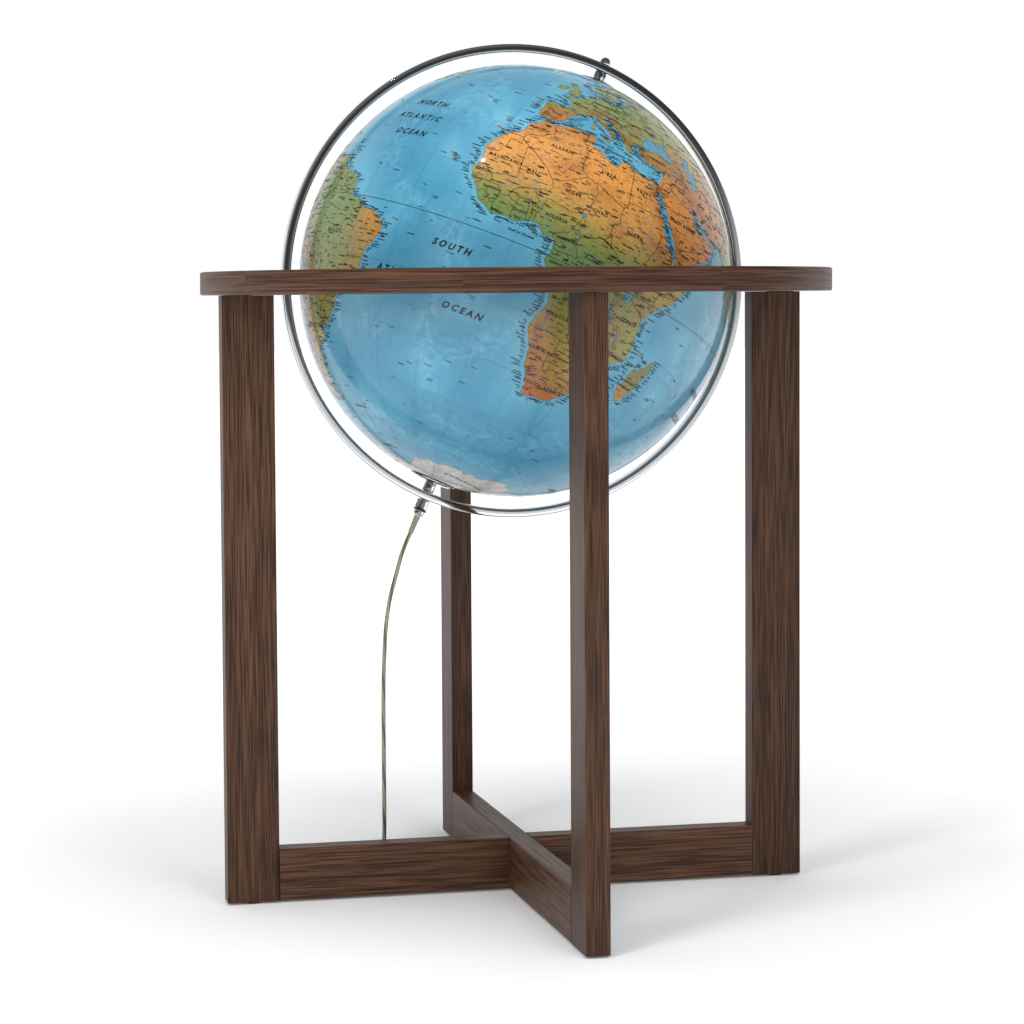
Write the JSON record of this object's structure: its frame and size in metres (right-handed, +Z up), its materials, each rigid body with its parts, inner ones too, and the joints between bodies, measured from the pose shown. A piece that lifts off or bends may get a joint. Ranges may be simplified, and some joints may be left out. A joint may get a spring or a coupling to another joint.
{
  "type": "floor globe on stand",
  "caption": "Illuminated world globe on a tilted axle in a chromed meridian ring that swings inside a round wooden horizon ring on four posts with crossed rails.",
  "frame": {"origin": "on the floor, below the middle of the globe", "axes": "+Z up, X from the left post to the right post, -Y the front"},
  "size_m": [0.7292, 0.7292, 0.9847],
  "materials": {
    "dark_wood": "dark walnut stain, satin",
    "beech": "raw",
    "felt": "felt",
    "chrome": "polished",
    "steel": "zinc plated",
    "rubber": "matte",
    "lamp_ceramic": "satin",
    "opal_glass": "opal",
    "globe_map": "printed map, satin varnish",
    "nylon": "natural nylon",
    "lead_pvc": "clear PVC over copper",
    "black_plastic": "satin",
    "brass": "nickelled brass"
  },
  "bodies": {
    "stand": {"ring_segment_1": "dark_wood", "ring_segment_2": "dark_wood", "ring_segment_3": "dark_wood", "ring_segment_4": "dark_wood", "ring_segment_5": "dark_wood", "ring_segment_6": "dark_wood", "ring_segment_7": "dark_wood", "ring_segment_8": "dark_wood", "post_left": "dark_wood", "post_right": "dark_wood", "post_front": "dark_wood", "post_back": "dark_wood", "rail_left_right": "dark_wood", "rail_front_back": "dark_wood", "rail_tenon_left": "beech", "rail_tenon_right": "beech", "rail_tenon_front": "beech", "rail_tenon_back": "beech", "post_tenon_left": "beech", "post_tenon_right": "beech", "post_tenon_front": "beech", "post_tenon_back": "beech", "pad_left": "felt", "pad_right": "felt", "pad_front": "felt", "pad_back": "felt", "pivot_insert_left": "chrome", "pivot_insert_right": "chrome", "pivot_screw_left": "steel", "pivot_screw_right": "steel", "cord_drop": "lead_pvc", "strain_relief": "lead_pvc", "cord_run": "lead_pvc", "cord_coil": "lead_pvc", "cord_tail": "lead_pvc", "cord_tie": "black_plastic", "switch_lower": "black_plastic", "switch_upper": "black_plastic", "plug_body": "black_plastic", "plug_pin_1": "brass", "plug_pin_2": "brass"},
    "meridian": {"meridian_ring": "chrome", "north_spacer": "chrome", "south_spacer": "chrome", "north_dome_nut": "chrome", "north_stud": "steel", "south_nut": "chrome", "south_seal": "rubber", "cord_gland": "chrome", "lamp_tube": "steel", "lamp_holder": "lamp_ceramic", "bulb": "opal_glass"},
    "globe": {"globe_north": "globe_map", "globe_south": "globe_map", "equator_band": "nylon", "north_pole_disc": "chrome", "south_pole_disc": "chrome", "north_pole_bush": "nylon", "south_pole_bush": "nylon"},
    "rocker": {"switch_rocker": "black_plastic"}
  },
  "joints": [
    {"name": "meridian_swing", "type": "hinge", "parent": "stand", "child": "meridian", "pos_m": [0, 0, 0.71075], "axis": [1, 0, 0], "range_deg": [-70, 70]},
    {"name": "globe_spin", "type": "hinge", "parent": "meridian", "child": "globe", "pos_m": [0, 0, 0.71075], "axis": [0.3987, 0, 0.9171], "continuous": true},
    {"name": "switch_rocker_tilt", "type": "hinge", "parent": "stand", "child": "rocker", "pos_m": [-0.226, 0.052, 0.013], "axis": [0, -1, 0], "range_deg": [0, 17.2]}
  ]
}
